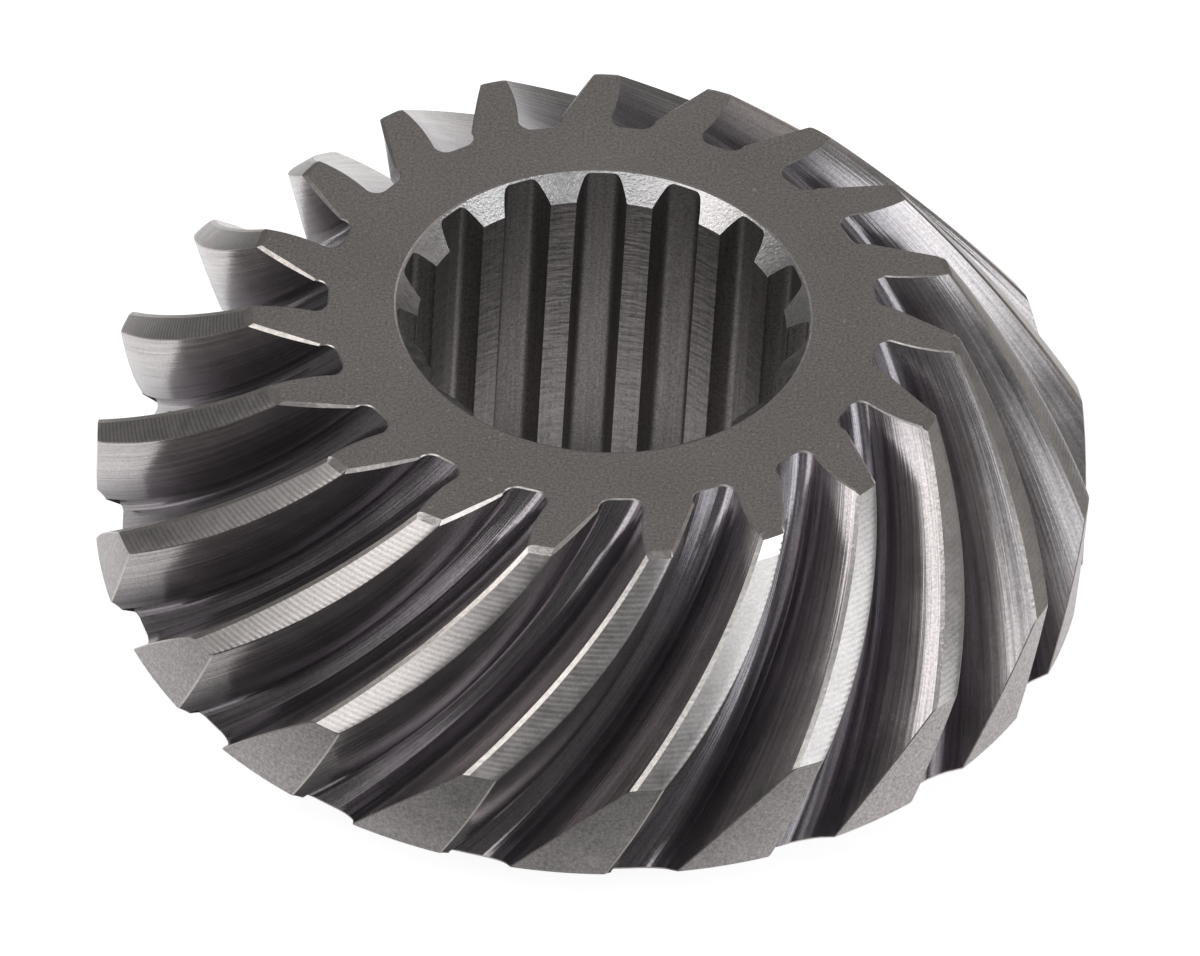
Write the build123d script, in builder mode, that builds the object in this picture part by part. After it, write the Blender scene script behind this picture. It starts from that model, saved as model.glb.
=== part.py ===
from build123d import *
from math import acos, atan, cos, degrees, hypot, pi, radians, sin, sqrt, tan
import os

os.makedirs("parts", exist_ok=True)

# Spiral bevel gear with a splined bore, one piece of steel
# Millimetres. The axis is Z, the back face is at Z = 0 and the small end of the teeth is up.
# A depth is measured down from the flat face at the small end, a distance from the common
# apex of the tooth cones, and a share of the tooth depth from the tooth top to the gap floor.

# Turned blank
toe_radius = 21.3  # tooth tops at the small end
crown_depth = 10.8  # small end down to the corner where the tooth tops meet the turned band
outer_radius = 30.1  # turned band around the large end
band_height = 6.95
back_cone_height = 7.25  # band down to the back face
back_cone_angle = 36.0  # between the back cone and the back face
back_edge_break = 0.5  # small chamfer around the back face

# Teeth
tooth_count = 19
root_radius = 16.5  # gap floors at the small end
spiral_angle = 35.0  # at the middle of the tooth length
first_tooth_angle = 130.1  # middle of the first tooth top at the small end
leading_bevel = 0.3  # width of the bevel along the leading edge of a tooth top
trailing_bevel = 0.1  # width of the bevel along its trailing edge
edge_break_share = 0.05  # tooth depth that the bevels take
flank_end_share = 0.8  # tooth depth at which the flanks run into the root fillets
floor_share = 0.22  # half of the gap floor, of the gap's width between the flank ends
section_count = 5  # level sections that shape a gap
overrun = 1.5  # gap cutter beyond the blank

# Half thickness of a tooth as a share of the pitch. Each pair is the value at the small end
# and what it gains by the large end. The leading flank is the rounder of the two.
tooth_length_ratio = 0.62  # tooth length for each unit of distance at the small end
land_half = 0.116
land_gain = 0.117
land_gain_curve = -0.22
leading_slope = (0.393, 0.196)
leading_curve = (-0.218, 0.0)
trailing_slope = (0.163, 0.197)
trailing_curve = (0.085, -0.142)

# Splined bore, involute form
spline_count = 15
spline_minor_radius = 11.1
spline_depth = 1.26
spline_pressure_angle = 30.0
spline_angle = 104.7  # middle of the first spline tooth
mouth_rim = 0.14  # rim of the end chamfers outside the spline grooves

# Sizes that follow from those above
total_height = crown_depth + band_height + back_cone_height
back_cone_slope = radians(back_cone_angle)
back_radius = outer_radius - back_cone_height / tan(back_cone_slope)
apex_height = toe_radius * crown_depth / (outer_radius - toe_radius)
face_angle = atan(toe_radius / apex_height)
root_angle = atan(root_radius / apex_height)
toe_distance = hypot(toe_radius, apex_height)
middle_distance = toe_distance * (1 + tooth_length_ratio / 2) - 1.2
spiral_rate = tan(radians(spiral_angle)) / (middle_distance * sin(back_cone_slope))
tooth_pitch = 2 * pi / tooth_count
gap_end = apex_height * (outer_radius / root_radius - 1) + overrun
spline_pitch = 2 * pi / spline_count
spline_pitch_radius = spline_minor_radius * spline_count / (spline_count - 1)
spline_major_radius = spline_minor_radius + spline_depth
base_radius = spline_pitch_radius * cos(radians(spline_pressure_angle))
mouth_radius = spline_major_radius + mouth_rim


def polar(radius, angle):
    return (radius * cos(angle), radius * sin(angle))


def half_thickness(share, distance, slope, curve):
    """Angle from the middle of a tooth to one flank."""
    along = (distance / toe_distance - 1) / tooth_length_ratio
    land = land_half + land_gain * along + land_gain_curve * along**2
    slope_here = slope[0] + slope[1] * along
    curve_here = curve[0] + curve[1] * along
    return tooth_pitch * (land + slope_here * share + curve_here * share**2)


def flank(depth, share, leading, bevel=0.0):
    """Radius and angle of a flank in a level section; bevel moves it into the tooth, in mm."""
    cone_angle = face_angle - share * (face_angle - root_angle)
    distance = (apex_height + depth) / cos(cone_angle)
    radius = (apex_height + depth) * tan(cone_angle)
    turn = spiral_rate * (distance - toe_distance)
    if leading:
        half = half_thickness(share, distance, leading_slope, leading_curve) - bevel / radius
        angle = turn + half
    else:
        half = half_thickness(share, distance, trailing_slope, trailing_curve) - bevel / radius
        angle = turn + tooth_pitch - half
    return radius, radians(first_tooth_angle) - angle


def gap_outline(depth):
    """Outline of one tooth gap in a level section."""
    shares = (edge_break_share, 0.3, 0.55, flank_end_share)
    leading = [polar(*flank(depth, share, True)) for share in shares]
    trailing = [polar(*flank(depth, share, False)) for share in shares]
    outside_share = -3 * edge_break_share
    leading_outside = polar(*flank(depth, outside_share, True, 4 * leading_bevel))
    trailing_outside = polar(*flank(depth, outside_share, False, 4 * trailing_bevel))

    # The floor lies midway between the flank ends, and a fillet joins it to each of them
    end_radius, leading_angle = flank(depth, flank_end_share, True)
    end_radius, trailing_angle = flank(depth, flank_end_share, False)
    floor_radius = root_radius * (apex_height + depth) / apex_height
    gap_angle = trailing_angle - leading_angle
    leading_floor = leading_angle + (0.5 - floor_share) * gap_angle
    trailing_floor = trailing_angle - (0.5 - floor_share) * gap_angle
    fillet_radius = 0.28 * end_radius + 0.72 * floor_radius
    leading_fillet = 0.72 * leading_angle + 0.28 * leading_floor
    trailing_fillet = 0.72 * trailing_angle + 0.28 * trailing_floor
    floor_start = polar(floor_radius, leading_floor)
    floor_stop = polar(floor_radius, trailing_floor)
    with BuildLine() as outline:
        Line(leading_outside, leading[0])
        Spline(*leading)
        ThreePointArc(leading[-1], polar(fillet_radius, leading_fillet), floor_start)
        Line(floor_start, floor_stop)
        ThreePointArc(floor_stop, polar(fillet_radius, trailing_fillet), trailing[-1])
        Spline(*reversed(trailing))
        Line(trailing[0], trailing_outside)
        Line(trailing_outside, leading_outside)
    return outline.line


def spline_space_half(radius):
    """Half angle of the space between two spline teeth, from the involute of the base circle."""
    ratio = max(radius / base_radius, 1.0)
    involute = sqrt(ratio**2 - 1) - acos(1 / ratio)
    pressure_angle = radians(spline_pressure_angle)
    return spline_pitch / 4 - (involute - (tan(pressure_angle) - pressure_angle))


# Cutter for one tooth gap, lofted from above the small end to beyond the turned band
with BuildPart() as tooth_gap:
    for number in range(section_count):
        depth = -overrun + (gap_end + overrun) * number / (section_count - 1)
        with BuildSketch(Plane.XY.offset(total_height - depth)):
            add(gap_outline(depth))
            make_face()
    loft()

# Gear blank with its teeth and its bore
with BuildPart() as bevel_gear:
    with BuildSketch(Plane.XZ):
        with BuildLine():
            Polyline(
                (0, 0),
                (back_radius - back_edge_break, 0),
                (
                    back_radius + back_edge_break * cos(back_cone_slope),
                    back_edge_break * sin(back_cone_slope),
                ),
                (outer_radius, back_cone_height),
                (outer_radius, back_cone_height + band_height),
                (toe_radius, total_height),
                (0, total_height),
                close=True,
            )
        make_face()
    revolve(axis=Axis.Z)
    with PolarLocations(0, tooth_count):
        add(tooth_gap.part, mode=Mode.SUBTRACT)

    # Bore with its spline grooves
    with BuildSketch():
        Circle(spline_minor_radius)
        groove_start = spline_angle + degrees(spline_pitch / 2)
        with PolarLocations(0, spline_count, start_angle=groove_start):
            with BuildSketch(mode=Mode.PRIVATE) as groove:
                middle_radius = spline_minor_radius + spline_depth / 2
                low_half = spline_space_half(spline_minor_radius)
                middle_half = spline_space_half(middle_radius)
                high_half = spline_space_half(spline_major_radius)
                inner_radius = spline_minor_radius - spline_depth
                with BuildLine():
                    Line(polar(inner_radius, -low_half), polar(spline_minor_radius, -low_half))
                    ThreePointArc(
                        polar(spline_minor_radius, -low_half),
                        polar(middle_radius, -middle_half),
                        polar(spline_major_radius, -high_half),
                    )
                    ThreePointArc(
                        polar(spline_major_radius, -high_half),
                        polar(spline_major_radius, 0),
                        polar(spline_major_radius, high_half),
                    )
                    ThreePointArc(
                        polar(spline_major_radius, high_half),
                        polar(middle_radius, middle_half),
                        polar(spline_minor_radius, low_half),
                    )
                    Line(polar(spline_minor_radius, low_half), polar(inner_radius, low_half))
                    Line(polar(inner_radius, low_half), polar(inner_radius, -low_half))
                make_face()
            add(groove.sketch)
    extrude(amount=total_height, mode=Mode.SUBTRACT)

    # 45 degree chamfer at both mouths of the bore
    for height, inward in ((total_height, -1), (0, 1)):
        with BuildSketch(Plane.XZ):
            Polygon(
                (0, height + inward * mouth_radius),
                (mouth_radius + overrun, height - inward * overrun),
                (0, height - inward * overrun),
                align=None,
            )
        revolve(axis=Axis.Z, mode=Mode.SUBTRACT)
bevel_gear.part.label = "bevel_gear"
export_step(bevel_gear.part, "parts/bevel_gear.step")
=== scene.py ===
from math import acos, atan, atan2, cos, hypot, pi, radians, sin, sqrt, tan

import bmesh
import bpy
from bpy.props import FloatProperty, FloatVectorProperty, IntProperty, PointerProperty
from bpy.types import Operator, Panel, PropertyGroup
from mathutils import Matrix, Vector
from mathutils.geometry import delaunay_2d_cdt


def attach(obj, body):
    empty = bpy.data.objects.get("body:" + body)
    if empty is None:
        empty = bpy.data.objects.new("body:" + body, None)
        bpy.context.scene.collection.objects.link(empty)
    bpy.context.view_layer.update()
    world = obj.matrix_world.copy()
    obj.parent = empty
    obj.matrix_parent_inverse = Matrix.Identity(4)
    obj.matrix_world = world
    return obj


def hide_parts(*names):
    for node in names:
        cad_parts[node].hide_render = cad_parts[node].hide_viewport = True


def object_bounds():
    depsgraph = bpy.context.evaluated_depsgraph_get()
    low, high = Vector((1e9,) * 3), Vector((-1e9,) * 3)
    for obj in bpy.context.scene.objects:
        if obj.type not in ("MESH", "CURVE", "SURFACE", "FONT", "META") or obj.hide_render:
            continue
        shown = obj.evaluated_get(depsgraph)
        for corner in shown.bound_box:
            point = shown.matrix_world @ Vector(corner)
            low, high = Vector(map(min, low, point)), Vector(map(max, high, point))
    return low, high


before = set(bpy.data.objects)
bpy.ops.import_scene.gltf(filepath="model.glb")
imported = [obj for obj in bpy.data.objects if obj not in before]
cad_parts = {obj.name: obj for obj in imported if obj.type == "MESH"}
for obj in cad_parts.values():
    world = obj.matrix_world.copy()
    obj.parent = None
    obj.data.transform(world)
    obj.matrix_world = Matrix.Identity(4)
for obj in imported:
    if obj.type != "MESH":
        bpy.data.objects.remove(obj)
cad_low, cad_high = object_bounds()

bl_info = {
    "name": "Spiral bevel gear",
    "version": (1, 0, 0),
    "blender": (4, 5, 0),
    "location": "3D View > Sidebar > Gear",
    "description": "Builds a steel spiral bevel gear with a splined bore and a studio around it",
    "category": "Object",
}

TOP = cad_high.z  # height of the flat face at the small end


# Settings

def a_length(name, default, description, **options):
    return FloatProperty(
        name=name, default=default, description=description, unit="LENGTH", **options
    )


def an_angle(name, degrees, description):
    return FloatProperty(
        name=name, default=radians(degrees), description=description, unit="ROTATION"
    )


def a_colour(name, default, description):
    return FloatVectorProperty(
        name=name, default=default, description=description, subtype="COLOR", min=0, max=1
    )


class GearTeethSettings(PropertyGroup):
    """Sizes of the turned blank and its spiral teeth."""

    toe_radius: a_length(
        "Small end radius", 0.0213, "Radius over the tooth tops at the small end",
    )
    crown_depth: a_length(
        "Crown depth", 0.0108,
        "From the small end down to the upper corner of the turned band",
    )
    outer_radius: a_length(
        "Outer radius", 0.0301, "Radius of the turned band around the large end",
    )
    band_height: a_length("Band height", 0.00695, "Height of the turned band")
    back_cone_angle: an_angle(
        "Back cone angle", 36, "Angle between the back cone and the back face",
    )
    back_edge_break: a_length("Back edge break", 0.0005, "Small chamfer around the back face")
    tooth_count: IntProperty(name="Teeth", default=19, min=6, description="Number of teeth")
    root_radius: a_length("Root radius", 0.0165, "Radius of the gap floors at the small end")
    spiral_angle: an_angle(
        "Spiral angle", 35, "Spiral angle at the middle of the tooth length",
    )
    first_tooth_angle: an_angle(
        "First tooth", 130.1, "Angle of the first tooth top at the small end",
    )
    leading_bevel: a_length(
        "Leading bevel", 0.00028, "Width of the bevel along the leading edge of a tooth top",
    )
    trailing_bevel: a_length(
        "Trailing bevel", 0.00003, "Width of the bevel along the trailing edge of a tooth top",
    )
    rib_pitch: a_length(
        "Turning rib pitch", 0.00034, "Distance between the turning ribs on the tooth tops",
    )
    rib_height: a_length(
        "Turning rib height", 0.0000038,
        "Height of the turning ribs on the tooth tops", precision=6,
    )


class GearBoreSettings(PropertyGroup):
    """Sizes of the splined bore."""

    spline_count: IntProperty(
        name="Splines", default=15, min=6, description="Number of spline teeth",
    )
    minor_radius: a_length("Minor radius", 0.0111, "Radius inside the spline teeth")
    spline_depth: a_length("Spline depth", 0.00126, "Depth of the spline grooves")
    pressure_angle: an_angle("Pressure angle", 30, "Pressure angle of the spline teeth")
    first_spline_angle: an_angle(
        "First spline", 104.7, "Angle of the middle of the first spline tooth",
    )
    mouth_rim: a_length(
        "Mouth rim", 0.00014, "Rim of the end chamfers outside the spline grooves",
    )


class GearSteelSettings(PropertyGroup):
    """Colours of the differently machined steel surfaces."""

    flank_colour: a_colour("Flanks", (0.577, 0.534, 0.532), "Upper part of the cut flanks")
    # Painted shade: the gap colour darkens the flanks towards the gap floors, for the shade that
    # falls in the gaps
    gap_shade_colour: a_colour(
        "Gap floors", (0.317, 0.291, 0.308), "Gap floors, into which the flanks darken",
    )
    land_colour: a_colour("Tooth tops", (0.615, 0.573, 0.56), "Turned tooth tops")
    face_colour: a_colour(
        "Small end face", (0.35, 0.32, 0.306), "Dull flat face at the small end",
    )
    band_colour: a_colour(
        "Band and back", (0.617, 0.576, 0.573), "Turned band, back cone and back face",
    )
    bore_colour: a_colour("Bore", (0.34, 0.312, 0.31), "Spline teeth and grooves")
    bright_colour: a_colour("Bright cuts", (0.745, 0.71, 0.7), "Bore chamfers")
    # Painted highlight: the bevels are coloured lighter and warmer than the steel beside them,
    # for the warm light they catch
    edge_highlight_colour: a_colour("Broken edges", (0.74, 0.68, 0.64), "Small bevels along the edges")


class StudioSettings(PropertyGroup):
    """Floor, lamps and camera."""

    floor_colour: a_colour("Floor", (0.9, 0.9, 0.9), "Colour of the floor")
    floor_size: a_length("Floor size", 8.0, "Side of the floor")
    room_light: FloatProperty(
        name="Room light", default=0.12, description="Strength of the light from all around",
    )
    softbox_light: FloatProperty(
        name="Softbox light", default=1.0, description="Strength of all softboxes",
    )
    floor_glow: FloatProperty(
        name="Floor glow", default=0.8, description="Light of the floor towards the camera",
    )
    camera_tilt: an_angle("Camera tilt", 43.351, "How far the camera looks down")
    camera_roll: an_angle("Camera roll", 3.685, "Turn of the camera about its line of sight")
    camera_lens: FloatProperty(
        name="Lens", default=388.02,
        description="Focal length in millimetres on a 36 mm sensor",
    )


# Tooth form. A share is a part of the tooth depth: 0 at the tooth top, 1 at the gap floor.

EDGE_BREAK_SHARES = (0.014, 0.02)  # where the bevels of a tooth top end: trailing, leading
FLANK_SHARES = (0.05, 0.09, 0.14, 0.2, 0.26, 0.33, 0.4, 0.47, 0.54, 0.61)  # lines along a flank
LAST_FLANK_SHARE = 0.75
FLANK_END_SHARE = 0.8  # where the flanks run into the root fillets
FLOOR_SHARE = 0.22  # half of the gap floor, of the gap's width between the flank ends
FILLET_STEPS = 7
FILLET_MIDDLE = (0.28, 0.72)  # weights of the flank's end and the floor in a fillet's middle

# Half thickness of a tooth, in parts of the pitch. The first number of a pair is the value at
# the small end, the second what it gains by the large end.
TOOTH_LENGTH_RATIO = 0.62  # tooth length, of the distance from the apex to the small end
LAND_HALF = (0.116, 0.117, -0.22)  # at the tooth top, with the curve of the gain
LEADING = ((0.393, 0.196), (-0.218, 0.0))  # slope and curve of the leading flank
TRAILING = ((0.163, 0.197), (0.085, -0.142))
SPIRAL_MIDDLE_SHIFT = 0.0012  # from the middle of the tooth to where the spiral angle is taken

# Edge breaks, in metres
TOE_BREAKS = (0.00006, 0.00026, 0.00022)  # at the small end: leading flank, top, trailing flank
TOE_BREAK_LINES = 9  # lines over which the break of the trailing flank grows
HEEL_BREAK = 0.00007  # where the gaps leave the band
MOUTH_BREAK = 0.00007  # at the bore's mouths
MOUTH_BREAK_INSIDE = 0.7  # how far the upper one reaches into the chamfer, of its width

# Tooth tops
RIB_STEPS = 5  # rows of vertices for each turning rib
LAND_LENGTH_RATIO = 0.41  # length that sets the number of ribs, of the apex distance
RIB_WANDER = (0.6, 0.11, 2.1)  # how much and how slowly the ribs shift, and how teeth differ
RIB_FADE = 40  # the ribs fade out over 1/40 of the top at both ends
DEEPEST_RIB_SHADE_SIDE = radians(175)  # side of the gear where the painted shade in the rib grooves is deepest
RIB_SHADE_ALL_ROUND, RIB_SHADE_GAIN = 0.3, 1.5  # strength of the painted shade in the rib grooves all round, and what it gains towards that side
POLISHED_GLINT_TOOTH = 10  # its top has a polished spot at the small end, painted lighter as a highlight
POLISHED_GLINT_DEPTH = 0.0011

# Rows and columns of vertices
ROWS = 38  # along a tooth gap
LAND_COLUMNS = (  # across a tooth top: place, and how far the rounded edge lies below the top
    (0.0, 0.0), (0.3, 0.0), (0.66, 0.0), (0.8, 0.000004), (0.91, 0.000015), (1.0, 0.000035)
)
BAND_COLUMNS = 8
GAP_SPACING = 0.003  # between the streak coordinates of neighbouring gaps

# Back of the gear
CONE_RINGS = 6
LEAST_TURN = 0.0004  # between neighbouring vertices of a back ring
CONE_START = 0.0003  # from the gap ends to the first ring of the back cone
BACK_FACE_RIM = 0.0015  # width of the outermost ring of the back face

# Bore
GROOVE_FILLET = 0.0003  # along the floors of the spline grooves
GROOVE_FLANK_STEPS = 5
GROOVE_FILLET_WAYS = (0.17, 0.33, 0.5, 0.67, 0.83, 1.0)
BORE_ROWS = 24

SHARP_ANGLE = radians(14)  # edges between faces at more than this are drawn sharp


class ToothForm:
    """Surfaces of the teeth. Lengths are in metres, angles in radians."""

    def __init__(self, s):
        self.toe = s.toe_radius
        self.crown = s.crown_depth
        self.outer = s.outer_radius
        self.band_bottom = s.crown_depth + s.band_height
        self.slope = s.back_cone_angle
        self.count = s.tooth_count
        self.root = s.root_radius
        self.first = s.first_tooth_angle
        self.apex = s.toe_radius * s.crown_depth / (s.outer_radius - s.toe_radius)
        self.face_angle = atan(self.toe / self.apex)
        self.root_angle = atan(self.root / self.apex)
        self.toe_distance = hypot(self.toe, self.apex)
        middle = self.toe_distance * (1 + TOOTH_LENGTH_RATIO / 2) - SPIRAL_MIDDLE_SHIFT
        self.spiral_rate = tan(s.spiral_angle) / (middle * sin(self.slope))
        self.pitch = 2 * pi / self.count
        self.bevels = (s.trailing_bevel, s.leading_bevel)
        band_cone = atan(self.outer / (self.apex + self.band_bottom))
        self.band_share = (self.face_angle - band_cone) / (self.face_angle - self.root_angle)

    def half_thickness(self, share, distance, shape):
        """Angle from the middle of a tooth to its flank."""
        along = (distance / self.toe_distance - 1) / TOOTH_LENGTH_RATIO
        land = LAND_HALF[0] + LAND_HALF[1] * along + LAND_HALF[2] * along**2
        slope, curve = (pair[0] + pair[1] * along for pair in shape)
        return self.pitch * (land + slope * share + curve * share**2)

    def flank(self, depth, share, leading, inset=0.0):
        """Radius and angle of a flank of tooth 0 (leading) or of tooth 1 (trailing)."""
        cone = self.face_angle - share * (self.face_angle - self.root_angle)
        distance = (self.apex + depth) / cos(cone)
        radius = (self.apex + depth) * tan(cone)
        turn = self.spiral_rate * (distance - self.toe_distance)
        half = self.half_thickness(share, distance, LEADING if leading else TRAILING)
        half -= inset / radius
        turn += half if leading else self.pitch - half
        return radius, self.first - turn

    def land_edge(self, depth, leading):
        """Edge of tooth 0's flat top, inside its bevel."""
        radius, angle = self.flank(depth, 0.0, leading, self.bevels[leading])
        return radius, angle + (0.0 if leading else self.pitch)

    def root_curve(self, depth, leading, way):
        """Fillet from a flank's end (way 0) to the gap floor (way 1)."""
        end_radius, angle_a = self.flank(depth, FLANK_END_SHARE, leading)
        end_radius, angle_b = self.flank(depth, FLANK_END_SHARE, not leading)
        floor_radius = self.root * (self.apex + depth) / self.apex
        floor_angle = angle_a + (0.5 - FLOOR_SHARE) * (angle_b - angle_a)
        a = polar(end_radius, angle_a)
        near, far = FILLET_MIDDLE
        m = polar(near * end_radius + far * floor_radius, far * angle_a + near * floor_angle)
        b = polar(floor_radius, floor_angle)
        x, y = arc_point(a, m, b, way)
        return hypot(x, y), atan2(y, x)

    def surface_end(self, point):
        """Depth at which a line along a gap leaves the blank, at the band or back cone."""
        low, high = 0.0, 2.0 * self.band_bottom
        for _ in range(40):
            depth = (low + high) / 2
            radius = point(depth)[0]
            if radius > self.outer or depth > self.back_depth(radius):
                high = depth
            else:
                low = depth
        return (low + high) / 2

    def back_depth(self, radius):
        """Depth of the back cone."""
        return self.band_bottom + (self.outer - radius) * tan(self.slope)


def polar(radius, angle):
    return radius * cos(angle), radius * sin(angle)


def arc_point(a, m, b, way):
    """Point on the arc from a through m to b."""
    (ax, ay), (mx, my), (bx, by) = a, m, b
    aa, mm, bb = ax * ax + ay * ay, mx * mx + my * my, bx * bx + by * by
    d = 2 * (ax * (my - by) + mx * (by - ay) + bx * (ay - my))
    ux = (aa * (my - by) + mm * (by - ay) + bb * (ay - my)) / d
    uy = (aa * (bx - mx) + mm * (ax - bx) + bb * (mx - ax)) / d
    start = atan2(ay - uy, ax - ux)
    middle = (atan2(my - uy, mx - ux) - start + pi) % (2 * pi) - pi
    stop = (atan2(by - uy, bx - ux) - start + pi) % (2 * pi) - pi
    if middle * stop < 0:
        stop += 2 * pi if middle > 0 else -2 * pi
    radius = hypot(ax - ux, ay - uy)
    angle = start + stop * way
    return ux + radius * cos(angle), uy + radius * sin(angle)


# Mesh helpers

# Numbers of the finishes, in the order in which the gear's mesh gets its materials
FLANK, LAND, FACE, BAND, BORE, BRIGHT, EDGE, POLISHED_GLINT = range(8)


class Surface:
    """Gathers the gear's vertices and faces."""

    def __init__(self):
        self.bm = bmesh.new()
        self.along = self.bm.verts.layers.float.new("cut_along")
        self.across = self.bm.verts.layers.float.new("cut_across")
        # The rib groove layer holds painted shade for the grooves between the turning ribs
        self.groove = self.bm.verts.layers.float.new("rib_groove_shade")

    def vert(self, radius, angle, z, along=0.0, across=0.0):
        v = self.bm.verts.new((radius * cos(angle), radius * sin(angle), z))
        v[self.along] = along
        v[self.across] = across
        return v

    def face(self, verts, finish):
        f = self.bm.faces.new(verts)
        f.material_index = finish
        f.smooth = True
        return f

    def bridge(self, a, b, finish, closed=False):
        """Quads between two rows with as many vertices each."""
        steps = len(a) if closed else len(a) - 1
        for i in range(steps):
            j = (i + 1) % len(a)
            self.face((a[i], a[j], b[j], b[i]), finish)

    def stitch(self, a, b, finish, measure):
        """Triangles between two rows of different lengths, kept in step by a measure."""
        ta, tb = [measure(v) for v in a], [measure(v) for v in b]
        i = j = 0
        while i < len(a) - 1 or j < len(b) - 1:
            step_a = j == len(b) - 1 or (
                i < len(a) - 1 and abs(ta[i + 1] - tb[j]) <= abs(tb[j + 1] - ta[i])
            )
            if step_a:
                self.face((a[i], a[i + 1], b[j]), finish)
                i += 1
            else:
                self.face((a[i], b[j + 1], b[j]), finish)
                j += 1

    def fill_ring(self, outline, hole, finish):
        """Level face between an outline and a round hole."""
        rings = outline + hole
        points = [Vector((v.co.x * 1000, v.co.y * 1000)) for v in rings]
        size, total = len(outline), len(rings)
        edges = [(i, (i + 1) % size) for i in range(size)]
        edges += [(i, i + 1 if i + 1 < total else size) for i in range(size, total)]
        filled = delaunay_2d_cdt(points, edges, [list(range(size))], 1, 1e-7)
        source = [first[0] for first in filled[3]]
        for corners in filled[2]:
            corners = [source[c] for c in corners]
            if min(corners) < size:
                self.face([rings[c] for c in corners], finish)

    def stitch_rings(self, a, b, finish):
        """Triangles between two closed rings around the axis."""
        def turn(v):
            return atan2(v.co.y, v.co.x)

        start_a = min(range(len(a)), key=lambda i: turn(a[i]))
        start_b = min(range(len(b)), key=lambda i: turn(b[i]))
        a = a[start_a:] + a[:start_a]
        b = b[start_b:] + b[:start_b]
        if turn(a[1]) - turn(a[0]) > pi:
            a = a[:1] + a[:0:-1]
        if turn(b[1]) - turn(b[0]) > pi:
            b = b[:1] + b[:0:-1]
        angles_a = [turn(v) for v in a] + [turn(a[0]) + 2 * pi]
        angles_b = [turn(v) for v in b] + [turn(b[0]) + 2 * pi]
        i = j = 0
        while i < len(a) or j < len(b):
            step_a = j == len(b) or (i < len(a) and angles_a[i + 1] <= angles_b[j + 1])
            va, vb = a[i % len(a)], b[j % len(b)]
            if step_a:
                self.face((va, a[(i + 1) % len(a)], vb), finish)
                i += 1
            else:
                self.face((va, b[(j + 1) % len(b)], vb), finish)
                j += 1


def gap_lines(form):
    """Lines along a tooth gap, flank to flank over the floor, as functions of depth.

    Also the edge break at the top of each line, and the number of the line that leaves the
    gear at the lower edge of the band."""
    shares = [*FLANK_SHARES, form.band_share, LAST_FLANK_SHARE]
    fillet_ways = [i / FILLET_STEPS for i in range(FILLET_STEPS + 1)]
    trailing_share, leading_share = EDGE_BREAK_SHARES

    def floor_point(depth, way):
        ra, aa = form.root_curve(depth, True, 1.0)
        rb, ab = form.root_curve(depth, False, 1.0)
        (ax, ay), (bx, by) = polar(ra, aa), polar(rb, ab)
        x, y = ax + (bx - ax) * way, ay + (by - ay) * way
        return hypot(x, y), atan2(y, x)

    lines = [(lambda d, s=s: form.flank(d, s, True)) for s in (leading_share, *shares)]
    lines += [(lambda d, w=w: form.root_curve(d, True, w)) for w in fillet_ways]
    lines += [(lambda d, w=w: floor_point(d, w)) for w in (0.33, 0.67)]
    lines += [(lambda d, w=w: form.root_curve(d, False, w)) for w in reversed(fillet_ways)]
    trailing = reversed([trailing_share, *shares])
    lines += [(lambda d, s=s: form.flank(d, s, False)) for s in trailing]

    low, high = TOE_BREAKS[0], TOE_BREAKS[2]
    growing = len(shares) + 4
    breaks = [low] * (len(lines) - growing)
    breaks += [low + (high - low) * min(1.0, (i + 1) / TOE_BREAK_LINES) for i in range(growing)]
    return lines, breaks, shares.index(form.band_share) + 1


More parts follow.
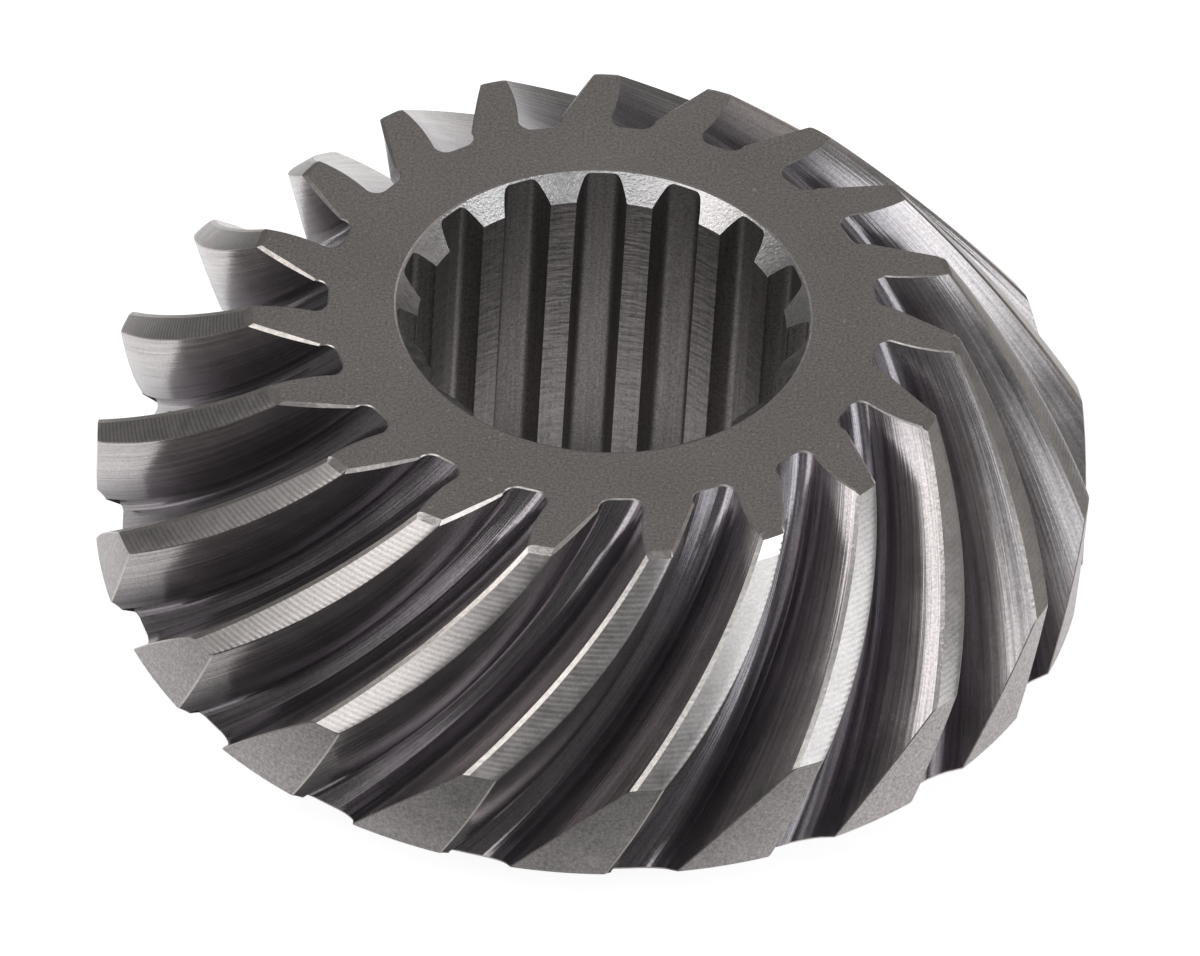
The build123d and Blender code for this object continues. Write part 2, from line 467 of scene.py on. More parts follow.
class Teeth:
    """Makes the teeth and the band between the gaps, and keeps their rows of vertices."""

    def __init__(self, surface, form, rib_pitch, rib_height):
        self.surface = surface
        self.form = form
        self.rib_height = rib_height
        self.lines, self.breaks, self.band_index = gap_lines(form)
        self.ends = [form.surface_end(line) for line in self.lines]
        self.last = len(self.lines) - 1
        self.toe_outline = [line(0.0) for line in self.lines]
        self.widths = [0.0]
        for a, b in zip(self.toe_outline, self.toe_outline[1:]):
            (ax, ay), (bx, by) = polar(*a), polar(*b)
            self.widths.append(self.widths[-1] + hypot(bx - ax, by - ay))
        self.stretch = self.widths[-1] + GAP_SPACING
        ribs = int(round(form.toe_distance * LAND_LENGTH_RATIO / rib_pitch))
        self.land_rows = ribs * RIB_STEPS
        self.gaps, self.edges, self.lands, self.band_feet = [], [], [], []
        for k in range(form.count):
            self.make_gap(k)
        for k in range(form.count):
            self.make_land(k)
        for k in range(form.count):
            self.make_band(k)

    def make_gap(self, k):
        """Flanks, fillets and floor of gap k, behind tooth k."""
        turn = -k * self.form.pitch
        columns = []
        for i, line in enumerate(self.lines):
            across = k * self.stretch + self.widths[i]
            length = self.ends[i] - HEEL_BREAK - self.breaks[i]
            column = []
            for row in range(ROWS + 1):
                depth = self.breaks[i] + row / ROWS * length
                radius, angle = line(depth)
                made = self.surface.vert(radius, angle + turn, TOP - depth, depth, across)
                column.append(made)
            columns.append(column)
        for a, b in zip(columns, columns[1:]):
            self.surface.bridge(a, b, FLANK)
        self.gaps.append(columns)
        edge = [self.heel_point(i, k) for i in range(len(self.lines))]
        self.surface.bridge([c[-1] for c in columns], edge, EDGE)
        self.edges.append(edge)

    def heel_point(self, i, k):
        """Outer vertex of the edge break where line i of gap k leaves the gear.

        It lies beside the gap on the band or the back cone, HEEL_BREAK from the gap's edge."""
        form, last, band_index = self.form, self.last, self.band_index
        ends = self.ends
        before, after = max(i - 1, 0), min(i + 1, last)
        r0, a0 = self.lines[before](ends[before])
        r1, a1 = self.lines[after](ends[after])
        radius, angle = self.lines[i](ends[i])
        depth = ends[i]
        run = Vector((radius * (a1 - a0), r1 - r0, ends[before] - ends[after]))
        on_band = i <= band_index or i >= last - band_index
        if on_band:
            side = Vector((run.z, 0.0, -run.x)).normalized()
        else:
            side = run.cross(Vector((0.0, sin(form.slope), -cos(form.slope)))).normalized()
        if i in (band_index, last - band_index):
            side = Vector((1.0 if i == band_index else -1.0, 0.0, 0.0))
        elif on_band:
            outward = side.x if i < last / 2 else -side.x
            if outward < 0:
                side.negate()
        elif side.y > 0:
            side.negate()
        angle += side.x * HEEL_BREAK / radius
        if on_band:
            depth -= side.z * HEEL_BREAK
            radius = form.outer
        else:
            radius += side.y * HEEL_BREAK
            depth = form.back_depth(radius)
        across = k * self.stretch + self.widths[i]
        return self.surface.vert(radius, angle - k * form.pitch, TOP - depth, depth, across)

    def make_land(self, k):
        """Flat top of tooth k with fine turning ribs, and its bevels."""
        surface, form = self.surface, self.form
        turn = -k * form.pitch
        # Strength of the painted shade in the rib grooves, deepest on one side of the gear
        shade = RIB_SHADE_ALL_ROUND + RIB_SHADE_GAIN * max(0.0, cos(form.first + turn - DEEPEST_RIB_SHADE_SIDE))
        amount, rate, tooth_shift = RIB_WANDER
        rows = []
        for row in range(self.land_rows + 1):
            part = row / self.land_rows
            depth = TOE_BREAKS[1] + part * (form.crown - TOE_BREAKS[1])
            radius, lead = form.land_edge(depth, True)
            radius, trail = form.land_edge(depth, False)
            wander = amount * sin(row * rate + tooth_shift * k)
            wave = sin(2 * pi * row / RIB_STEPS + wander)
            wave *= min(1.0, RIB_FADE * part, RIB_FADE * (1 - part))
            line = []
            for w, drop in LAND_COLUMNS:
                lift = self.rib_height * wave - drop
                angle = lead + (trail - lead) * w + turn
                made = surface.vert(radius + lift, angle, TOP - depth, depth)
                made[surface.groove] = shade * max(0.0, -wave)
                line.append(made)
            rows.append(line)
        for a, b in zip(rows, rows[1:]):
            # One tooth top gets a polished spot at its small end, painted lighter as a highlight
            polished = k == POLISHED_GLINT_TOOTH and TOP - b[0].co.z < POLISHED_GLINT_DEPTH
            surface.bridge(a, b, POLISHED_GLINT if polished else LAND)
        self.lands.append(rows)

        def height(v):
            return v.co.z

        surface.stitch([r[0] for r in rows], self.gaps[k][0], EDGE, height)
        surface.stitch([r[-1] for r in rows], self.gaps[k - 1][-1], LAND, height)

    def make_band(self, k):
        """Turned band below the top of tooth k."""
        surface, form = self.surface, self.form
        lead, trail = self.edges[k], self.edges[k - 1]
        crown = self.lands[k][-1]
        surface.face((crown[0], self.gaps[k][0][-1], lead[0]), LAND)
        surface.face((crown[-1], self.gaps[k - 1][-1][-1], trail[-1]), LAND)
        previous = crown
        for j in range(self.band_index + 1):
            a, b = lead[j], trail[self.last - j]
            angle_a, angle_b = atan2(a.co.y, a.co.x), atan2(b.co.y, b.co.x)
            angle_b = angle_a + (angle_b - angle_a) % (2 * pi)
            line = [a]
            for c in range(1, BAND_COLUMNS):
                w = c / BAND_COLUMNS
                z = a.co.z + (b.co.z - a.co.z) * w
                line.append(surface.vert(form.outer, angle_a + (angle_b - angle_a) * w, z))
            line.append(b)
            if j == 0:
                def around(v):
                    return (atan2(v.co.y, v.co.x) - angle_a + pi / 2) % (2 * pi)

                surface.stitch(previous, line, BAND, around)
            else:
                surface.bridge(previous, line, BAND)
            previous = line
        self.band_feet.append(previous)

    def face_ring(self):
        """Broken edge around the small end face; returns its inner ring, clockwise."""
        surface, form = self.surface, self.form
        ring, outline = [], []
        (radius, lead), (_, trail) = form.land_edge(0.0, True), form.land_edge(0.0, False)
        for k in range(form.count):
            ring += [column[0] for column in self.gaps[k]]
            ring += self.lands[(k + 1) % form.count][0][::-1]
            outline += [(r, a - k * form.pitch) for r, a in self.toe_outline]
            for w, drop in reversed(LAND_COLUMNS):
                angle = lead + (trail - lead) * w - (k + 1) * form.pitch
                outline.append((radius - drop, angle))
        insets = (self.breaks + [TOE_BREAKS[1]] * len(LAND_COLUMNS)) * form.count
        flat = []
        for i, point in enumerate(outline):
            x, y = polar(*point)
            x0, y0 = polar(*outline[i - 1])
            x1, y1 = polar(*outline[(i + 1) % len(outline)])
            along_x, along_y = x1 - x0, y1 - y0
            length = hypot(along_x, along_y)
            # The face lies on the right of a clockwise outline
            x, y = x + along_y / length * insets[i], y - along_x / length * insets[i]
            flat.append(surface.vert(hypot(x, y), atan2(y, x), TOP))
        surface.bridge(ring, flat, EDGE, closed=True)
        return flat

    def back_ring(self):
        """Vertices around the upper edge of the back cone, clockwise."""
        ring = []
        for k in range(self.form.count):
            ring += self.edges[k][self.band_index:self.last - self.band_index + 1]
            ring += self.band_feet[(k + 1) % self.form.count][::-1][1:-1]
        return ring


def clockwise_angles(ring):
    """Angles of a ring's vertices, each at least a little past the one before."""
    angles = []
    for v in ring:
        angle = atan2(v.co.y, v.co.x)
        if angles:
            step = (angles[-1] - angle + pi) % (2 * pi) - pi
            angle = angles[-1] - max(step, LEAST_TURN)
        angles.append(angle)
    return angles


def make_back(surface, form, edge_break, back_ring):
    """Back cone, its small chamfer and the rim of the back face; returns the last ring."""
    back_radius = form.outer - (TOP - form.band_bottom) / tan(form.slope)
    start = min(hypot(v.co.x, v.co.y) for v in back_ring) - CONE_START
    cone_end = back_radius + edge_break * cos(form.slope)
    rings = []
    for i in range(CONE_RINGS):
        radius = start - (start - cone_end) * i / (CONE_RINGS - 1)
        rings.append((radius, TOP - form.back_depth(radius)))
    rings += [(back_radius - edge_break, 0.0), (back_radius - BACK_FACE_RIM, 0.0)]
    previous = back_ring
    angles = clockwise_angles(back_ring)
    for radius, z in rings:
        ring = [surface.vert(radius, angle, z) for angle in angles]
        surface.bridge(previous, ring, BAND, closed=True)
        previous = ring
    return previous


def spline_outline(bore):
    """Outline of the bore over all spline teeth: points, running lengths, major radius."""
    count = bore.spline_count
    minor = bore.minor_radius
    major = minor + bore.spline_depth
    pitch = 2 * pi / count
    pitch_radius = minor * count / (count - 1)
    base = pitch_radius * cos(bore.pressure_angle)

    def involute(radius):
        ratio = max(radius / base, 1.0)
        return sqrt(ratio**2 - 1) - acos(1 / ratio)

    def tooth_half(radius):
        at_pitch = tan(bore.pressure_angle) - bore.pressure_angle
        return pitch / 4 + involute(radius) - at_pitch

    # Half of a groove: flank, fillet and floor, measured from the middle of the spline tooth
    foot = tooth_half(major)
    fillet_start = major - GROOVE_FILLET
    fillet_stop = foot + GROOVE_FILLET / major
    half_groove = []
    for step in range(1, GROOVE_FLANK_STEPS + 1):
        radius = minor + (fillet_start - minor) * step / GROOVE_FLANK_STEPS
        half_groove.append((radius, tooth_half(radius)))
    for w in GROOVE_FILLET_WAYS:
        a, b, c = (1 - w) ** 2, 2 * w * (1 - w), w**2
        angle = a * tooth_half(fillet_start) + b * foot + c * fillet_stop
        half_groove.append((a * fillet_start + (b + c) * major, angle))
    half_groove.append((major, (fillet_stop + pitch / 2) / 2))

    points = []
    for k in range(count):
        middle = bore.first_spline_angle + k * pitch
        top = tooth_half(minor)
        points += [(minor, middle + top * w) for w in (-1, -0.5, 0, 0.5, 1)]
        points += [(radius, middle + angle) for radius, angle in half_groove]
        points.append((major, middle + pitch / 2))
        points += [(radius, middle + pitch - angle) for radius, angle in reversed(half_groove)]
    running, total = [], 0.0
    for i, (radius, angle) in enumerate(points):
        if i:
            (ax, ay), (bx, by) = polar(*points[i - 1]), polar(radius, angle)
            total += hypot(bx - ax, by - ay)
        running.append(total)
    return points, running, major


def make_bore(surface, bore):
    """Chamfered mouths and spline teeth; returns the rings on the two end faces."""
    points, running, major = spline_outline(bore)
    mouth = major + bore.mouth_rim

    def ring(place):
        made = []
        for (radius, angle), length in zip(points, running):
            r, z = place(radius)
            made.append(surface.vert(r, angle, z, z, length))
        return made

    inside = MOUTH_BREAK_INSIDE * MOUTH_BREAK
    top_face = ring(lambda r: (mouth + MOUTH_BREAK, TOP))
    top_mouth = ring(lambda r: (mouth - inside, TOP - inside))
    surface.bridge(top_face, top_mouth, EDGE, closed=True)
    previous = top_mouth
    for row in range(BORE_ROWS + 1):
        w = row / BORE_ROWS
        wall = ring(lambda r: (r, TOP - (mouth - r) - w * (TOP - 2 * (mouth - r))))
        surface.bridge(previous, wall, BRIGHT if row == 0 else BORE, closed=True)
        previous = wall
    low_mouth = ring(lambda r: (mouth, MOUTH_BREAK))
    low_face = ring(lambda r: (mouth + MOUTH_BREAK, 0.0))
    surface.bridge(previous, low_mouth, BRIGHT, closed=True)
    surface.bridge(low_mouth, low_face, BRIGHT, closed=True)
    return top_face, low_face


# Finishes. Noise scales are per millimetre, bump distances in metres.

NOISE_RANGE = (0.3, 0.7)  # the part of a noise's values that counts
STREAK_BUMP = 0.000014
GAP_SHADE_HEIGHTS = (1.8, 3.8)  # above the gap floors, between which the painted shade of the gaps gives way to the flank colour
RIB_GROOVE_SHADE = (1.03, 0.6)  # painted shade of the tooth tops, without a groove and in the deepest one
SPLINE_TOP_SPAN = (0.05, 0.15)  # outside the minor radius, where the chatter marks fade out


class Nodes:
    """Short hand for building a material's node tree."""

    def __init__(self, name):
        self.material = bpy.data.materials.new(name)
        self.material.use_nodes = True
        self.tree = self.material.node_tree
        self.tree.nodes.clear()
        self.output = self.tree.nodes.new("ShaderNodeOutputMaterial")

    def add(self, kind, settings=None, **inputs):
        """A node; inputs are given by name, with _ for a space."""
        made = self.tree.nodes.new("ShaderNode" + kind)
        for key, value in (settings or {}).items():
            setattr(made, key, value)
        for key, value in inputs.items():
            self.plug(made, key.replace("_", " "), value)
        return made

    def plug(self, made, key, value):
        """Link or set an input, by name or number."""
        socket = made.inputs[key]
        if isinstance(value, bpy.types.NodeSocket):
            self.tree.links.new(value, socket)
        else:
            socket.default_value = value

    def math(self, operation, a, b=0.0):
        made = self.add("Math", {"operation": operation})
        self.plug(made, 0, a)
        self.plug(made, 1, b)
        return made.outputs[0]

    def total(self, *terms):
        made = terms[0]
        for term in terms[1:]:
            made = self.math("ADD", made, term)
        return made

    def vector_math(self, operation, vector, **inputs):
        made = self.add("VectorMath", {"operation": operation}, **inputs)
        self.plug(made, 0, vector)
        return made

    def vector(self, x, y, z):
        return self.add("CombineXYZ", X=x, Y=y, Z=z).outputs[0]

    def attribute(self, name):
        return self.add("Attribute", {"attribute_name": name}).outputs["Fac"]

    def noise(self, vector, scale, detail, roughness):
        made = self.add("TexNoise", Vector=vector, Scale=scale, Detail=detail)
        self.plug(made, "Roughness", roughness)
        return made.outputs["Fac"]

    def span(self, value, low, high, to_low, to_high):
        """Map low to high onto to_low to to_high, and hold the ends."""
        made = self.add("MapRange", {"clamp": True})
        for index, number in enumerate((value, low, high, to_low, to_high)):
            self.plug(made, index, number)
        return made.outputs[0]

    def vary(self, noise, to_low, to_high):
        return self.span(noise, *NOISE_RANGE, to_low, to_high)

    def grey_ramp(self, value, stops):
        made = self.add("ValToRGB", Fac=value)
        elements = made.color_ramp.elements
        while len(elements) < len(stops):
            elements.new(0.5)
        for element, (position, grey) in zip(elements, stops):
            element.position = position
            element.color = (grey, grey, grey, 1.0)
        return made.outputs["Color"]

    def bump(self, height, distance):
        return self.add("Bump", Height=height, Distance=distance, Strength=1.0).outputs[0]

    def tint(self, colour, shade):
        """A colour that is made lighter or darker by a shade around 1."""
        made = self.add("VectorMath", {"operation": "SCALE"}, Scale=shade)
        self.plug(made, 0, colour)
        return made.outputs[0]

    def finish(self, colour, roughness, normal=None, metallic=1.0):
        shader = self.add(
            "BsdfPrincipled", Metallic=metallic, Base_Color=colour, Roughness=roughness
        )
        if normal is not None:
            self.plug(shader, "Normal", normal)
        self.tree.links.new(shader.outputs[0], self.output.inputs["Surface"])
        return self.material


def place_of(nodes):
    """Position on the gear in millimetres."""
    place = nodes.add("TexCoord").outputs["Object"]
    return nodes.vector_math("SCALE", place, Scale=1000.0).outputs[0]


def cut_lines(nodes, along_scale, across_scale, shift=0.0):
    """Coordinates stretched along the cut, for the streaks that a cutter leaves."""
    return nodes.vector(
        nodes.math("MULTIPLY", nodes.attribute("cut_along"), along_scale * 1000.0),
        nodes.math("MULTIPLY", nodes.attribute("cut_across"), across_scale * 1000.0),
        shift,
    )


def above_root(nodes, place, form):
    """Distance from the cone of the gap floors, in millimetres."""
    split = nodes.add("SeparateXYZ", Vector=place)
    x, y = split.outputs["X"], split.outputs["Y"]
    squares = nodes.total(nodes.math("MULTIPLY", x, x), nodes.math("MULTIPLY", y, y))
    out = nodes.math("MULTIPLY", nodes.math("SQRT", squares), cos(form.root_angle))
    up = nodes.math("MULTIPLY", split.outputs["Z"], sin(form.root_angle))
    apex = (TOP + form.apex) * 1000.0 * sin(form.root_angle)
    return nodes.math("SUBTRACT", nodes.total(out, up), apex)


def cut_flank_steel(colour, gap_shade_colour, form):
    """Flanks and gap floors: streaks along the cut, with painted shade that darkens them towards
    the floor.
    """
    nodes = Nodes("cut_flank_steel")
    place = place_of(nodes)
    streaks = nodes.noise(cut_lines(nodes, 0.08, 5.0), 1.0, 1.5, 0.5)
    fine = nodes.noise(cut_lines(nodes, 0.14, 10.0, 4.0), 1.0, 1.0, 0.5)
    cloud = nodes.noise(place, 0.35, 3.0, 0.55)
    grain = nodes.noise(place, 6.0, 3.0, 0.7)
    shade = nodes.total(
        nodes.vary(cloud, 0.92, 1.06),
        nodes.vary(streaks, -0.14, 0.14),
        nodes.vary(fine, -0.19, 0.19),
        nodes.vary(grain, -0.22, 0.22),
    )
    rough = nodes.total(nodes.vary(cloud, 0.18, 0.25), nodes.vary(streaks, -0.03, 0.03))
    marks = nodes.total(nodes.math("MULTIPLY", streaks, 0.6), nodes.math("MULTIPLY", fine, 0.4))
    normal = nodes.bump(marks, STREAK_BUMP)
    # Painted shade: towards the gap floors the flank colour gives way to the darker gap colour
    bright = nodes.span(above_root(nodes, place, form), *GAP_SHADE_HEIGHTS, 0.0, 1.0)
    mixed = nodes.add("Mix", {"data_type": "RGBA"}, Factor=bright)
    mixed.inputs[6].default_value = (*gap_shade_colour, 1.0)
    mixed.inputs[7].default_value = (*colour, 1.0)
    return nodes.finish(nodes.tint(mixed.outputs[2], shade), rough, normal, metallic=0.9)


def turned_top_steel(colour):
    """Tooth tops, with painted shade in the grooves between the turning ribs."""
    nodes = Nodes("turned_top_steel")
    place = place_of(nodes)
    cloud = nodes.noise(place, 0.8, 3.0, 0.6)
    grain = nodes.noise(place, 6.0, 3.0, 0.7)
    groove = nodes.span(nodes.attribute("rib_groove_shade"), 0.1, 1.8, *RIB_GROOVE_SHADE)
    shade = nodes.total(nodes.vary(cloud, 0.92, 1.14), nodes.vary(grain, -0.16, 0.16))
    shade = nodes.math("MULTIPLY", shade, groove)
    rough = nodes.vary(cloud, 0.28, 0.38)
    return nodes.finish(nodes.tint(tuple(colour), shade), rough, nodes.bump(grain, 0.000004))


def dull_face_steel(colour):
    """Small end face: dull and grained, with a few bright specks."""
    nodes = Nodes("dull_face_steel")
    place = place_of(nodes)
    cloud = nodes.noise(place, 0.12, 3.0, 0.5)
    grain = nodes.noise(place, 6.0, 3.0, 0.75)
    specks = nodes.span(nodes.noise(place, 2.3, 1.0, 0.5), 0.74, 0.8, 0.0, 0.5)
    shade = nodes.total(nodes.vary(cloud, 0.94, 1.06), nodes.vary(grain, -0.4, 0.4), specks)
    return nodes.finish(nodes.tint(tuple(colour), shade), 0.52, nodes.bump(grain, 0.000012))


def grained_steel(name, colour, cloud_noise, cloud_shade, grain_noise, grain_shade, rough, bump):
    """Steel with cloudy shade and gloss, and a fine grain."""
    nodes = Nodes(name)
    place = place_of(nodes)
    cloud = nodes.noise(place, *cloud_noise)
    grain = nodes.noise(place, *grain_noise)
    shade = nodes.total(
        nodes.vary(cloud, *cloud_shade), nodes.vary(grain, -grain_shade, grain_shade)
    )
    normal = nodes.bump(grain, bump)
    return nodes.finish(nodes.tint(tuple(colour), shade), nodes.vary(cloud, *rough), normal)


def turned_band_steel(colour):
    return grained_steel(
        "turned_band_steel", colour, cloud_noise=(0.5, 3.0, 0.6), cloud_shade=(0.9, 1.08),
        grain_noise=(5.0, 3.0, 0.75), grain_shade=0.36, rough=(0.38, 0.48), bump=0.000008,
    )


def bright_cut_steel(colour):
    return grained_steel(
        "bright_cut_steel", colour, cloud_noise=(1.2, 3.0, 0.6), cloud_shade=(0.86, 1.1),
        grain_noise=(5.0, 2.0, 0.6), grain_shade=0.14, rough=(0.28, 0.4), bump=0.00003,
    )


def broached_bore_steel(colour, minor_radius):
    """Spline teeth and grooves: drag lines along the bore, chatter across the spline tops."""
    nodes = Nodes("broached_bore_steel")
    place = place_of(nodes)
    drag = nodes.noise(cut_lines(nodes, 0.1, 5.0, 9.0), 1.0, 3.0, 0.6)
    chatter = nodes.noise(cut_lines(nodes, 3.0, 0.6, 2.0), 1.0, 1.0, 0.5)
    grain = nodes.noise(place, 6.0, 3.0, 0.7)
    split = nodes.add("SeparateXYZ", Vector=place)
    level = nodes.vector(split.outputs["X"], split.outputs["Y"], 0.0)
    radius = nodes.vector_math("LENGTH", level).outputs["Value"]
    low, high = (minor_radius * 1000.0 + part for part in SPLINE_TOP_SPAN)
    chatter = nodes.math("MULTIPLY", chatter, nodes.span(radius, low, high, 1.0, 0.0))
    shade = nodes.total(
        nodes.vary(drag, 0.85, 1.12),
        nodes.vary(grain, -0.34, 0.34),
        nodes.vary(chatter, -0.12, 0.2),
    )
    lines, marks = nodes.math("MULTIPLY", drag, 0.4), nodes.math("MULTIPLY", chatter, 2.5)
    height = nodes.total(lines, marks)
    return nodes.finish(nodes.tint(tuple(colour), shade), 0.45, nodes.bump(height, 0.00002))


def broken_edge_highlight_steel(colour):
    """Small edge bevels, painted lighter and warmer than the steel beside them as a highlight,
    with painted beads of light and a bump along them.
    """
    nodes = Nodes("broken_edge_highlight_steel")
    beads = nodes.noise(place_of(nodes), 3.4, 2.0, 0.6)
    shade = nodes.vary(beads, 0.85, 1.12)
    return nodes.finish(nodes.tint(tuple(colour), shade), 0.32, nodes.bump(beads, 0.00002))


# Polished spot: low roughness, and a colour painted lighter than the bright cuts as a highlight
def polished_glint_steel(colour):
    nodes = Nodes("polished_glint_steel")
    cloud = nodes.noise(place_of(nodes), 1.5, 2.0, 0.5)
    shade = nodes.vary(cloud, 1.1, 1.25)
    return nodes.finish(nodes.tint(tuple(colour), shade), nodes.vary(cloud, 0.08, 0.14))


# Stage

# Painted pool of light on the floor, which only glossy rays see, with painted shadow under the
# gear and painted light under the bore
POOL_CENTRE = (8.0, 16.0, 0.0)  # of the light that the steel sees on the floor, in millimetres
POOL_FADE = (50.0, 72.0)  # distances from its centre between which it fades
POOL_FAR = 0.16  # brightness beyond
POOL_DEPTH = (-50.0, 50.0)  # from the camera's side to the far side, for the next line
POOL_ACROSS = ((0.0, 0.2), (0.1, 0.29), (0.2, 0.78), (0.38, 0.76), (0.5, 0.95), (0.7, 1.0))
GEAR_SHADE = 0.15  # painted shadow: brightness under the gear
GEAR_SHADE_EDGE = (30.0, 34.0)  # radii between which that shade ends
BORE_LIGHT = 0.85  # painted light: brightness under the bore
BORE_LIGHT_EDGE = (4.0, 12.0)
SOFTBOX_DISTANCE = 1.1  # from the gear, in metres
COOL, WARM, WHITE = (0.93, 0.97, 1.0), (1.0, 0.95, 0.91), (1.0, 1.0, 1.0)
# Name, azimuth and elevation in degrees, width and height in metres, brightness, colour
SOFTBOXES = (
    ("right_softbox", 330, 28, (0.86, 0.48), 1.8, COOL),
    ("right_back_panel", 22, 12, (0.6, 0.35), 0.27, WARM),
    ("left_softbox", 215, 33, (0.7, 0.5), 1.72, WHITE),
    ("left_panel", 181, 20, (0.26, 0.3), 0.5, WHITE),
    ("top_softbox", 246, 61.5, (1.0, 0.48), 1.3, COOL),
    ("back_panel", 86, 46, (1.2, 0.74), 0.48, WHITE),
)
CAMERA_PLACE = (0.000446, -0.570825, 0.549978)


def floor_finish(studio):
    """Matt floor: the camera sees it white, with a shadow; the steel sees a painted pool of
    light, with painted shadow under the gear.
    """
    nodes = Nodes("pale_floor")
    link = nodes.tree.links.new
    rays = nodes.add("LightPath").outputs
    seen = nodes.math("MAXIMUM", rays["Is Camera Ray"], rays["Is Transmission Ray"])
    matt = nodes.add("BsdfDiffuse", Color=(*studio.floor_colour, 1.0))
    white = nodes.add("Emission", Strength=nodes.math("MULTIPLY", seen, studio.floor_glow))
    both = nodes.add("AddShader")
    link(matt.outputs[0], both.inputs[0])
    link(white.outputs[0], both.inputs[1])

    place = place_of(nodes)
    out = nodes.vector_math("LENGTH", place).outputs["Value"]
    beside = nodes.vector_math("DISTANCE", place)
    beside.inputs[1].default_value = POOL_CENTRE
    depth = nodes.add("SeparateXYZ", Vector=place).outputs["Y"]
    across = nodes.grey_ramp(nodes.span(depth, *POOL_DEPTH, 0.0, 1.0), POOL_ACROSS)
    fade = nodes.span(beside.outputs["Value"], *POOL_FADE, 1.0, POOL_FAR)
    # Painted shadow under the gear and painted light under the bore, in the pool that the steel
    # sees
    under = nodes.math(
        "MAXIMUM",
        nodes.span(out, *GEAR_SHADE_EDGE, GEAR_SHADE, 1.0),
        nodes.span(out, *BORE_LIGHT_EDGE, BORE_LIGHT, GEAR_SHADE),
    )
    pool = nodes.math("MULTIPLY", under, nodes.math("MULTIPLY", fade, across))
    painted_pool_glow = nodes.add("Emission", Strength=pool)
    mixed = nodes.add("MixShader", Fac=rays["Is Glossy Ray"])
    link(both.outputs[0], mixed.inputs[1])
    link(painted_pool_glow.outputs[0], mixed.inputs[2])
    link(mixed.outputs[0], nodes.output.inputs["Surface"])
    return nodes.material


def add_floor(scene, studio):
    half = studio.floor_size / 2
    corners = [(-half, -half, 0), (half, -half, 0), (half, half, 0), (-half, half, 0)]
    mesh = bpy.data.meshes.new("floor")
    mesh.from_pydata(corners, [], [(0, 1, 2, 3)])
    mesh.materials.append(floor_finish(studio))
    floor = bpy.data.objects.new("floor", mesh)
    scene.collection.objects.link(floor)


def add_room(scene, studio):
    world = bpy.data.worlds.new("studio_room")
    world.use_nodes = True
    background = world.node_tree.nodes["Background"]
    background.inputs["Color"].default_value = (1.0, 1.0, 1.0, 1.0)
    background.inputs["Strength"].default_value = studio.room_light
    scene.world = world


def add_softbox(scene, name, azimuth, elevation, size, brightness, colour):
    """An area lamp that looks at the gear; brightness 1 is white."""
    lamp = bpy.data.lights.new(name, "AREA")
    lamp.shape = "RECTANGLE"
    lamp.size, lamp.size_y = size
    lamp.energy = brightness * pi * size[0] * size[1]
    lamp.color = colour
    softbox = bpy.data.objects.new(name, lamp)
    a, e = radians(azimuth), radians(elevation)
    away = Vector((cos(a) * cos(e), sin(a) * cos(e), sin(e)))
    softbox.location = away * SOFTBOX_DISTANCE
    softbox.rotation_mode = "QUATERNION"
    softbox.rotation_quaternion = softbox.location.to_track_quat("Z", "Y")
    scene.collection.objects.link(softbox)


def add_camera(scene, studio):
    lens = bpy.data.cameras.new("camera")
    lens.sensor_width = 36.0
    lens.lens = studio.camera_lens
    lens.clip_start = 0.01
    camera = bpy.data.objects.new("camera", lens)
    tilt = Matrix.Rotation(pi / 2 - studio.camera_tilt, 4, "X")
    roll = Matrix.Rotation(studio.camera_roll, 4, "Z")
    camera.matrix_world = Matrix.Translation(CAMERA_PLACE) @ tilt @ roll
    scene.collection.objects.link(camera)
    scene.camera = camera


# Operators

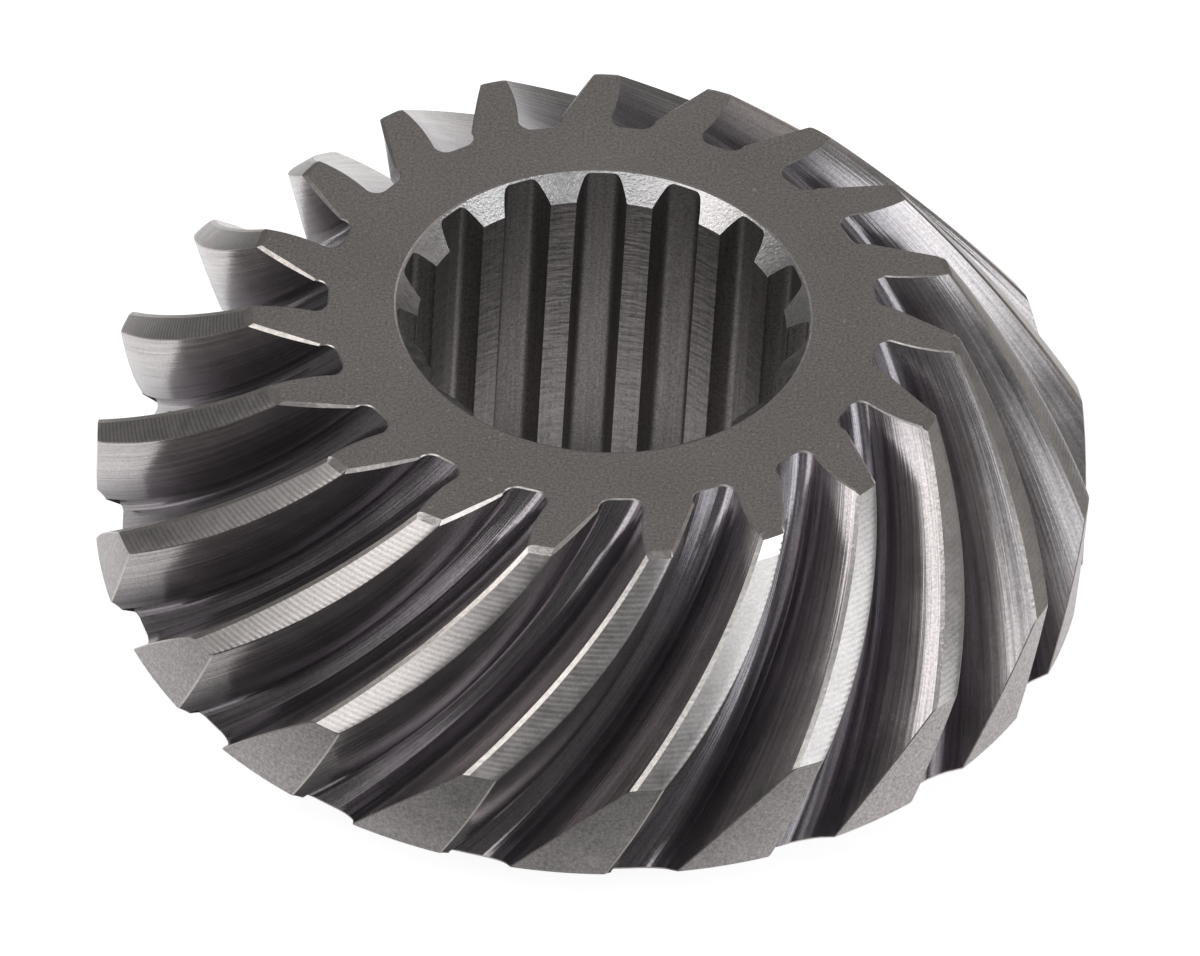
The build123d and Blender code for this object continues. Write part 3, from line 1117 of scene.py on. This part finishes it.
class GEAR_OT_make_gear(Operator):
    """Build the gear with its teeth, band, back and splined bore"""

    bl_idname = "gear.make_gear"
    bl_label = "Make gear"

    def execute(self, context):
        scene = context.scene
        teeth, bore, steel = scene.gear_teeth, scene.gear_bore, scene.gear_steel
        form = ToothForm(teeth)
        surface = Surface()
        made = Teeth(surface, form, teeth.rib_pitch, teeth.rib_height)
        face_ring = made.face_ring()
        back_face_ring = make_back(surface, form, teeth.back_edge_break, made.back_ring())
        top_mouth, low_mouth = make_bore(surface, bore)
        surface.fill_ring(face_ring, top_mouth, FACE)
        surface.stitch_rings(back_face_ring, low_mouth, BAND)
        bmesh.ops.recalc_face_normals(surface.bm, faces=surface.bm.faces)
        open_edges = [e for e in surface.bm.edges if not e.is_manifold]
        if open_edges:
            raise RuntimeError(f"the gear's mesh has {len(open_edges)} open edges")
        mesh = bpy.data.meshes.new("spiral_gear")
        surface.bm.to_mesh(mesh)
        surface.bm.free()
        mesh.set_sharp_from_angle(angle=SHARP_ANGLE)
        for material in (
            cut_flank_steel(steel.flank_colour, steel.gap_shade_colour, form),
            turned_top_steel(steel.land_colour),
            dull_face_steel(steel.face_colour),
            turned_band_steel(steel.band_colour),
            broached_bore_steel(steel.bore_colour, bore.minor_radius),
            bright_cut_steel(steel.bright_colour),
            broken_edge_highlight_steel(steel.edge_highlight_colour),
            polished_glint_steel(steel.bright_colour),
        ):
            mesh.materials.append(material)
        gear = bpy.data.objects.new("spiral_gear", mesh)
        scene.collection.objects.link(gear)
        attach(gear, "root")
        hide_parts("bevel_gear")
        return {"FINISHED"}


class GEAR_OT_make_stage(Operator):
    """Set the floor, the lamps and the camera around the gear"""

    bl_idname = "gear.make_stage"
    bl_label = "Make stage"

    def execute(self, context):
        scene = context.scene
        studio = scene.gear_studio
        add_floor(scene, studio)
        add_room(scene, studio)
        for name, azimuth, elevation, size, brightness, colour in SOFTBOXES:
            brightness *= studio.softbox_light
            add_softbox(scene, name, azimuth, elevation, size, brightness, colour)
        add_camera(scene, studio)
        scene.view_settings.view_transform = "Standard"
        return {"FINISHED"}


class GEAR_PT_panel(Panel):
    """Gear settings and the buttons that build it"""

    bl_idname = "GEAR_PT_panel"
    bl_label = "Spiral bevel gear"
    bl_space_type = "VIEW_3D"
    bl_region_type = "UI"
    bl_category = "Gear"

    def draw(self, context):
        layout = self.layout
        for title, name in (
            ("Teeth", "gear_teeth"),
            ("Bore", "gear_bore"),
            ("Steel", "gear_steel"),
            ("Studio", "gear_studio"),
        ):
            group = getattr(context.scene, name)
            box = layout.box()
            box.label(text=title)
            for key in group.bl_rna.properties.keys():
                if key not in {"rna_type", "name"}:
                    box.prop(group, key)
        layout.operator(GEAR_OT_make_gear.bl_idname)
        layout.operator(GEAR_OT_make_stage.bl_idname)


GROUPS = {
    "gear_teeth": GearTeethSettings,
    "gear_bore": GearBoreSettings,
    "gear_steel": GearSteelSettings,
    "gear_studio": StudioSettings,
}
CLASSES = (*GROUPS.values(), GEAR_OT_make_gear, GEAR_OT_make_stage, GEAR_PT_panel)


def register():
    for cls in CLASSES:
        bpy.utils.register_class(cls)
    for name, group in GROUPS.items():
        setattr(bpy.types.Scene, name, PointerProperty(type=group))


def unregister():
    for name in GROUPS:
        delattr(bpy.types.Scene, name)
    for cls in reversed(CLASSES):
        bpy.utils.unregister_class(cls)


def main():
    register()
    bpy.ops.gear.make_stage()
    bpy.ops.gear.make_gear()


if __name__ == "__main__":
    main()
